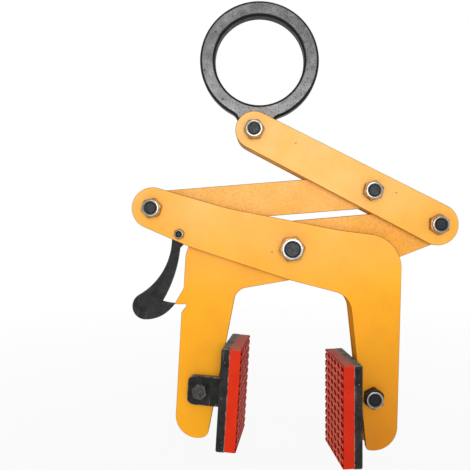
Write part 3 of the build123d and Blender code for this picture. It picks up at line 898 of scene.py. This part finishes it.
def model_facing(shapes, width, height, thickness):
    """A pad's rubber facing, its back on the origin's plane and its tread up."""
    deselect()
    bpy.ops.mesh.primitive_cube_add(size=1, location=(0, 0, thickness / 2))
    facing = bpy.context.object
    facing.scale = (width, height, thickness)
    bpy.ops.object.transform_apply(location=True, rotation=True, scale=True)
    with editing(facing):
        choose(facing, "EDGE", lambda edge: sum(v.co.z for v in edge.verts) > thickness / 2)
        bpy.ops.mesh.bevel(offset=shapes.facing_edge, segments=ROUND_STEPS, affect="EDGES")
    combine(facing, tread_pockets(shapes, width, height, thickness), "DIFFERENCE")
    return facing


class CLAMP_OT_paint_plates(bpy.types.Operator):
    """Paint the jaws, the upper arm and the tie link amber"""

    bl_idname = "clamp.paint_plates"
    bl_label = "Paint Plates"

    def execute(self, context):
        paint = context.scene.clamp_paint
        smooth = amber_finish("AmberPaint", paint, blemishes=PLATE_MARKS)
        for side in ("front", "rear"):
            dress("outer_jaw_" + side + "_plate", smooth)
            dress("upper_arm_" + side + "_plate", smooth)
        dress("inner_jaw_plate", amber_finish("AmberPaintJaw", paint, on_right_arm))
        dress("tie_link", amber_finish("AmberPaintCoarse", paint, all_over))
        return {"FINISHED"}


class CLAMP_OT_finish_ring(bpy.types.Operator):
    """Give the lifting ring its worn black steel"""

    bl_idname = "clamp.finish_ring"
    bl_label = "Finish Ring"

    def execute(self, context):
        dress("lifting_ring", ring_finish(context.scene.clamp_metal))
        return {"FINISHED"}


class CLAMP_OT_paint_black(bpy.types.Operator):
    """Paint the latch, the pads' shoes and the left pad's bolt black"""

    bl_idname = "clamp.paint_black"
    bl_label = "Paint Black Pieces"

    def execute(self, context):
        paint = context.scene.clamp_paint
        worn = paint.black_worn
        shoes = black_finish("BlackPaint", paint.black, worn, 0.85)
        dress("latch_hook", black_finish("LatchBlack", paint.latch, worn, 0.2, matt=0.6))
        dress("left_pad_pivot_bolt", black_finish("ScuffedBlack", paint.latch, worn, 0.5, rub=0.35))
        for side in PADS:
            dress(side + "_pad_shoe", shoes)
        return {"FINISHED"}


class CLAMP_OT_make_facings(bpy.types.Operator):
    """Model the pads' treaded facings in red rubber"""

    bl_idname = "clamp.make_facings"
    bl_label = "Make Facings"

    def execute(self, context):
        for side, pad in PADS.items():
            node = side + "_pad_facing"
            rubber = rubber_finish(side, context.scene.clamp_rubber)
            dress(node, rubber)
            low, high = facing_box(side)
            width, height, thickness = high.y - low.y, high.z - low.z, high.x - low.x
            facing = model_facing(context.scene.clamp_shapes, width, height, thickness)
            facing.data.materials.clear()
            facing.data.materials.append(rubber)
            upright = Matrix(((0, 0, pad.look), (pad.look, 0, 0), (0, 1, 0))).to_4x4()
            back = low.x if pad.look > 0 else high.x
            middle = Vector((back, (low.y + high.y) / 2, (low.z + high.z) / 2))
            hung = Matrix.Translation(pad.pivot) @ pad_turn(pad).to_4x4()
            set_in_place(facing, side + "_pad_tread", hung @ Matrix.Translation(middle) @ upright)
            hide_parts(node)
            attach(facing, side + "_pad")
        return {"FINISHED"}


class CLAMP_OT_finish_bolts(bpy.types.Operator):
    """Give the bolts, spacers and nylon rings their finishes"""

    bl_idname = "clamp.finish_bolts"
    bl_label = "Finish Bolts"

    def execute(self, context):
        metal = context.scene.clamp_metal
        steel_finish("BrightZinc", metal.zinc, metal.zinc_dull, 0.22, 120.0)
        zinc = steel_finish("ZincSides", metal.zinc_side, metal.zinc_stain, 0.34, 120.0)
        steel = steel_finish("BoltSteel", metal.bolt, metal.nylon, 0.36, 160.0)
        black = steel_finish("BlackenedSteel", metal.blackened, metal.nylon, 0.40, 160.0)
        nylon = nylon_finish(metal)
        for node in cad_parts:
            if node.endswith("_spacers") or node.endswith("_nut"):
                dress(node, zinc)
            elif node.endswith("_insert"):
                dress(node, nylon)
            elif node.endswith("_bolt") and node != "left_pad_pivot_bolt":
                dress(node, steel)
        dress("right_pad_pivot_bolt", black)
        return {"FINISHED"}


class CLAMP_OT_make_nuts(bpy.types.Operator):
    """Model the self-locking nuts on the front and set them on their bolts"""

    bl_idname = "clamp.make_nuts"
    bl_label = "Make Nuts"

    def execute(self, context):
        shapes = context.scene.clamp_shapes
        models = {size: model_nut(size, shapes) for size in NUT_SIZES}
        out = Matrix.Rotation(math.pi / 2, 4, "X")
        for pivot, (body, size, turn) in FRONT_NUTS.items():
            low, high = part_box(pivot + "_nut")
            seat = Vector(((low.x + high.x) / 2, high.y, (low.z + high.z) / 2))
            spin = Matrix.Rotation(math.radians(turn + FLAT_FROM_CORNER), 4, "Z")
            nut = copy_of(models[size])
            set_in_place(nut, pivot + "_lock_nut", Matrix.Translation(seat) @ out @ spin)
            if pivot == "right_pad_pivot":
                nut.data.materials[0] = bpy.data.materials["BlackenedSteel"]
            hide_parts(pivot + "_nut")
            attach(nut, body)
        for model in models.values():
            bpy.data.objects.remove(model)
        return {"FINISHED"}


class CLAMP_OT_weld_lugs(bpy.types.Operator):
    """Lay the weld beads where the left shoe's lugs meet its plate"""

    bl_idname = "clamp.weld_lugs"
    bl_label = "Weld Lugs"

    def execute(self, context):
        bead = model_bead(context.scene.clamp_shapes, LUG_HEIGHT * WELDED)
        pad = PADS["left"]
        hung = Matrix.Translation(pad.pivot) @ pad_turn(pad).to_4x4()
        for name, side in (("front", -1), ("rear", 1)):
            corner = Matrix.Translation((SHOE_BACK, side * LUG_OUTSIDE, 0))
            weld = copy_of(bead)
            set_in_place(weld, "left_pad_weld_" + name, hung @ corner)
            weld.data.materials.append(bpy.data.materials["BlackPaint"])
            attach(weld, "left_pad")
        bpy.data.objects.remove(bead)
        return {"FINISHED"}


class CLAMP_OT_set_stage(bpy.types.Operator):
    """Add the floor, the light and the camera"""

    bl_idname = "clamp.set_stage"
    bl_label = "Set Stage"

    def execute(self, context):
        stage = context.scene.clamp_stage
        self.add_floor(stage)
        self.add_light(context, stage)
        self.add_camera(context, stage)
        context.scene.view_settings.view_transform = "Standard"
        return {"FINISHED"}

    @staticmethod
    def seen(graph):
        """One where the ray comes from the camera, a mirror or glass."""
        path = graph.add("LightPath").outputs
        direct = graph.calc("MAXIMUM", path["Is Camera Ray"], path["Is Glossy Ray"])
        return graph.calc("MAXIMUM", direct, path["Is Transmission Ray"])

    def add_floor(self, stage):
        deselect()
        level = CAD_BOX[0][2] - stage.floor_drop
        bpy.ops.mesh.primitive_plane_add(size=stage.floor_size, location=(0, 0, level))
        floor = bpy.context.object
        floor.name = "floor"
        material = bpy.data.materials.new("PaleFloor")
        material.use_nodes = True
        graph = Graph(material.node_tree)
        matt = graph.add("BsdfDiffuse", {"Color": (stage.floor_tone,) * 3}).outputs[0]
        white = graph.add("Emission", {"Color": WHITE, "Strength": 1.0}).outputs[0]
        away = graph.add("VectorMath", {0: graph.place()}, operation="LENGTH").outputs["Value"]
        fade = graph.span(away, stage.shadow_near, stage.shadow_far, stage.floor_white, 1.0)
        share = graph.calc("MULTIPLY", self.seen(graph), fade)
        mixed = graph.add("MixShader", {0: share, 1: matt, 2: white}).outputs[0]
        graph.add("OutputMaterial", {"Surface": mixed})
        floor.data.materials.append(material)

    def add_light(self, context, stage):
        world = bpy.data.worlds.new("Studio")
        world.use_nodes = True
        context.scene.world = world
        graph = Graph(world.node_tree)
        strength = graph.span(self.seen(graph), 0.0, 1.0, stage.sky, 1.0)
        sky = graph.add("Background", {"Color": WHITE, "Strength": strength})
        graph.add("OutputWorld", {"Surface": sky.outputs[0]})
        deselect()
        bpy.ops.object.light_add(type="AREA", location=stage.key_place)
        key = bpy.context.object
        key.name = "key"
        key.data.shape = "DISK"
        key.data.size = stage.key_size
        key.data.energy = stage.key
        aim = Vector(stage.key_aim) - key.location
        key.rotation_euler = aim.to_track_quat("-Z", "Y").to_euler()

    def add_camera(self, context, stage):
        deselect()
        place = (stage.camera_side, -stage.camera_distance, stage.camera_height)
        bpy.ops.object.camera_add(location=place, rotation=(math.pi / 2, 0, 0))
        camera = bpy.context.object
        camera.data.lens = stage.lens
        camera.data.sensor_width = SENSOR_WIDTH
        camera.data.shift_x, camera.data.shift_y = stage.shift
        context.scene.camera = camera


class CLAMP_PT_panel(bpy.types.Panel):
    """Steps and settings of the clamp"""

    bl_label = "Stone Lifting Clamp"
    bl_idname = "CLAMP_PT_panel"
    bl_space_type = "VIEW_3D"
    bl_region_type = "UI"
    bl_category = "Clamp"

    def draw(self, context):
        column = self.layout.column(align=True)
        for operator in OPERATORS:
            column.operator(operator.bl_idname)
        for name, group in GROUPS.items():
            box = self.layout.box()
            settings = getattr(context.scene, name)
            for prop in group.__annotations__:
                box.prop(settings, prop)


GROUPS = {
    "clamp_paint": ClampPaint,
    "clamp_metal": ClampMetal,
    "clamp_rubber": ClampRubber,
    "clamp_shapes": ClampShapes,
    "clamp_stage": ClampStage,
}

OPERATORS = (
    CLAMP_OT_paint_plates,
    CLAMP_OT_finish_ring,
    CLAMP_OT_paint_black,
    CLAMP_OT_make_facings,
    CLAMP_OT_finish_bolts,
    CLAMP_OT_make_nuts,
    CLAMP_OT_weld_lugs,
    CLAMP_OT_set_stage,
)


def register():
    """Makes the settings, the steps and the panel known."""
    for group in (*GROUPS.values(), *OPERATORS, CLAMP_PT_panel):
        bpy.utils.register_class(group)
    for name, group in GROUPS.items():
        setattr(bpy.types.Scene, name, PointerProperty(type=group))


def unregister():
    """Takes them out again."""
    for name in GROUPS:
        delattr(bpy.types.Scene, name)
    for group in (CLAMP_PT_panel, *reversed(OPERATORS), *reversed(GROUPS.values())):
        bpy.utils.unregister_class(group)


def main():
    """Finishes the clamp step by step."""
    register()
    deselect()
    for make in EFFECTS:
        make()
    bpy.ops.clamp.paint_plates()
    bpy.ops.clamp.finish_ring()
    bpy.ops.clamp.paint_black()
    bpy.ops.clamp.make_facings()
    bpy.ops.clamp.finish_bolts()
    bpy.ops.clamp.make_nuts()
    bpy.ops.clamp.weld_lugs()
    bpy.ops.clamp.set_stage()


if __name__ == "__main__":
    main()
